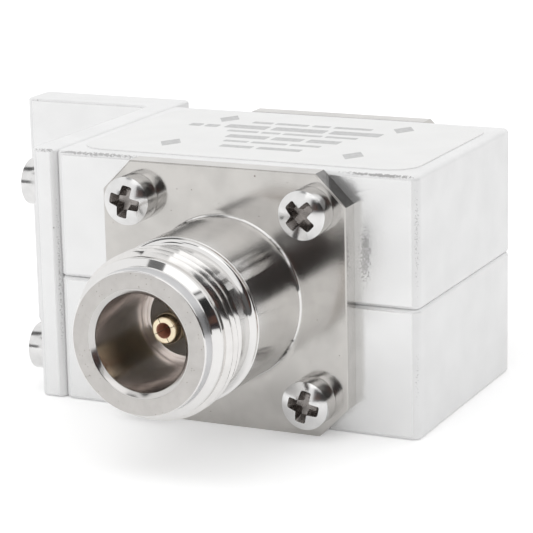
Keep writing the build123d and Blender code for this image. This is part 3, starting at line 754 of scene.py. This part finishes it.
# floor, light and camera; glow is what the camera and clear parts see added to the floor, glossGlow what
# mirroring parts see

stage = dict(size=3.0, colour=(0.86, 0.86, 0.86), roughness=0.9, cloudPerMm=0.01, shade=0.985, glow=0.29,
             glossGlow=0.2)
# what the gloss mirrors, in degrees: bands by height, each from its angle up, between two azimuths from -Y
# towards +X, and darker or brighter cards on them by azimuth and height
studio = dict(
    bright=1.0, plain=0.95, bandsFrom=-10.0, bandsTo=80.0, bandAzimuth=(5.0, 64.0), bandSoft=2.0,
    bandEdge=0.4,
    bands=[(-10, (1.0, 1.0, 1.0)), (-4, (0.035, 0.03, 0.033)), (4.6, (0.11, 0.062, 0.05)),
           (10.3, (0.035, 0.03, 0.033)), (13, (0.09, 0.053, 0.045)), (17.4, (0.035, 0.03, 0.035)),
           (25, (0.9, 0.9, 0.9)), (28.6, (0.08, 0.08, 0.08)), (30.3, (1.0, 1.0, 1.0))],
    cards=[dict(azimuth=(-14.0, 30.0), elevation=(31.5, 62.0), soft=(1.0, 1.0), level=1.35),
           dict(azimuth=(7.0, 17.0), elevation=(20.0, 30.0), soft=(1.0, 1.0), level=0.035),
           dict(azimuth=(22.0, 36.0), elevation=(-9.0, 25.0), soft=(1.0, 1.0), level=0.03),
           dict(azimuth=(62.0, 140.0), elevation=(-4.0, 26.0), soft=(3.0, 2.0), level=0.12),
           dict(azimuth=(-78.0, -50.0), elevation=(46.0, 66.0), soft=(2.0, 2.0), level=0.06),
           dict(azimuth=(-35.0, -14.0), elevation=(41.0, 53.0), soft=(1.0, 1.0), level=0.19),
           dict(azimuth=(-45.0, -25.0), elevation=(-8.0, 11.0), soft=(2.0, 2.0), level=0.13)])
lamp = dict(place=(-150.0, -100.0, 600.0), aim=(0.0, 0.0, 10.0), size=500.0, power=0.5)
view = dict(target=(12.596, -12.7, 15.608), place=(105.233, -207.876, 69.623), roll=-1.215, lens=158.6,
            sensor=36.0, near=10.0)


# 1 for the named kinds of ray, and 0 for others
def rayIs(tree, *kinds):
    path = addNode(tree, "LightPath")
    value = path.outputs[kinds[0]]
    for kind in kinds[1:]:
        value = calc(tree, "MAXIMUM", value, path.outputs[kind])
    return value


def addFloor():
    s = stage
    bm = bmesh.new()
    bmesh.ops.create_grid(bm, x_segments=1, y_segments=1, size=s["size"] / 2)
    material, tree, shader, place = startFinish("pale floor", s["colour"], 0.0, s["roughness"])
    shader.inputs["Specular IOR Level"].default_value = 0.0
    pale = tuple(c * s["shade"] for c in s["colour"])
    colour = mixed(tree, grainNoise(tree, place, s["cloudPerMm"]), s["colour"], pale)
    tree.links.new(colour, shader.inputs["Base Color"])
    shader.inputs["Emission Color"].default_value = (1, 1, 1, 1)
    glow = calc(tree, "MULTIPLY", rayIs(tree, "Is Glossy Ray"), s["glossGlow"])
    seen = rayIs(tree, "Is Camera Ray", "Is Transmission Ray")
    glow = calc(tree, "MULTIPLY_ADD", seen, s["glow"], glow)
    tree.links.new(glow, shader.inputs["Emission Strength"])
    mesh = bmMesh(bm, "floor")
    mesh.materials.append(material)
    addObject("floor", mesh)


# 1 between low and high, with soft ends
def within(tree, value, low, high, soft):
    ends = []
    for limit, start in ((low, 0), (high, 1)):
        step = addNode(tree, "MapRange", {"Value": value, "From Min": limit - soft, "From Max": limit + soft,
                                          "To Min": start, "To Max": 1 - start},
                       interpolation_type="SMOOTHSTEP")
        ends.append(step.outputs["Result"])
    return calc(tree, "MULTIPLY", *ends)


# white for the camera, a bright room with darker areas for gloss, plain light for the rest
def addWorld():
    s = studio
    world = bpy.data.worlds.new("studio")
    bpy.context.scene.world = world
    world.use_nodes = True
    world.cycles.sampling_method = "NONE"
    tree = world.node_tree
    parts = addNode(tree, "SeparateXYZ", {"Vector": addNode(tree, "TexCoord").outputs["Generated"]})
    ahead = calc(tree, "MULTIPLY", parts.outputs["Y"], -1.0)
    azimuth = calc(tree, "DEGREES", calc(tree, "ARCTAN2", parts.outputs["X"], ahead))
    elevation = calc(tree, "DEGREES", calc(tree, "ARCSINE", parts.outputs["Z"]))
    ramp = addNode(tree, "ValToRGB", {0: ranged(tree, elevation, s["bandsFrom"], s["bandsTo"], 0, 1)})
    stops = []
    for (angle, colour), lower in zip(s["bands"][1:], s["bands"]):
        stops += [(angle - s["bandEdge"], lower[1]), (angle + s["bandEdge"], colour)]
    for index, (angle, colour) in enumerate(stops):
        place = (angle - s["bandsFrom"]) / (s["bandsTo"] - s["bandsFrom"])
        stop = ramp.color_ramp.elements[index] if index < 2 else ramp.color_ramp.elements.new(place)
        stop.position = place
        stop.color = (*colour, 1)
    facing = within(tree, azimuth, *s["bandAzimuth"], s["bandSoft"])
    level = mixed(tree, facing, (s["bright"],) * 3, ramp.outputs[0])
    for card in s["cards"]:
        across = within(tree, azimuth, *card["azimuth"], card["soft"][0])
        upward = within(tree, elevation, *card["elevation"], card["soft"][1])
        level = mixed(tree, calc(tree, "MULTIPLY", across, upward), level, (card["level"],) * 3)
    room = mixed(tree, rayIs(tree, "Is Glossy Ray"), (s["plain"],) * 3, level)
    seen = rayIs(tree, "Is Camera Ray", "Is Transmission Ray")
    tree.links.new(mixed(tree, seen, room, (1, 1, 1)), tree.nodes["Background"].inputs["Color"])


def addLamp():
    light = bpy.data.lights.new("top soft", "AREA")
    light.shape = "DISK"
    light.size = lamp["size"] * mm
    light.energy = lamp["power"]
    thing = addObject("top soft", light)
    thing.location = Vector(lamp["place"]) * mm
    thing.rotation_euler = (Vector(lamp["aim"]) * mm - thing.location).to_track_quat("-Z", "Y").to_euler()
    thing.visible_glossy = False


def addCamera():
    place, target = Vector(view["place"]) * mm, Vector(view["target"]) * mm
    back = (place - target).normalized()
    right = Vector((0, 0, 1)).cross(back).normalized()
    up = back.cross(right)
    roll = math.radians(view["roll"])
    across = right * math.cos(roll) + up * math.sin(roll)
    rise = up * math.cos(roll) - right * math.sin(roll)
    data = bpy.data.cameras.new("photo view")
    data.sensor_width = view["sensor"]
    data.lens = view["lens"]
    data.clip_start = view["near"] * mm
    camera = addObject("photo view", data)
    camera.matrix_world = Matrix.Translation(place) @ Matrix((across, rise, back)).transposed().to_4x4()
    bpy.context.scene.camera = camera


addFloor()
addWorld()
addLamp()
addCamera()
bpy.context.scene.view_settings.view_transform = "Standard"
print("stage set")

print("size written")
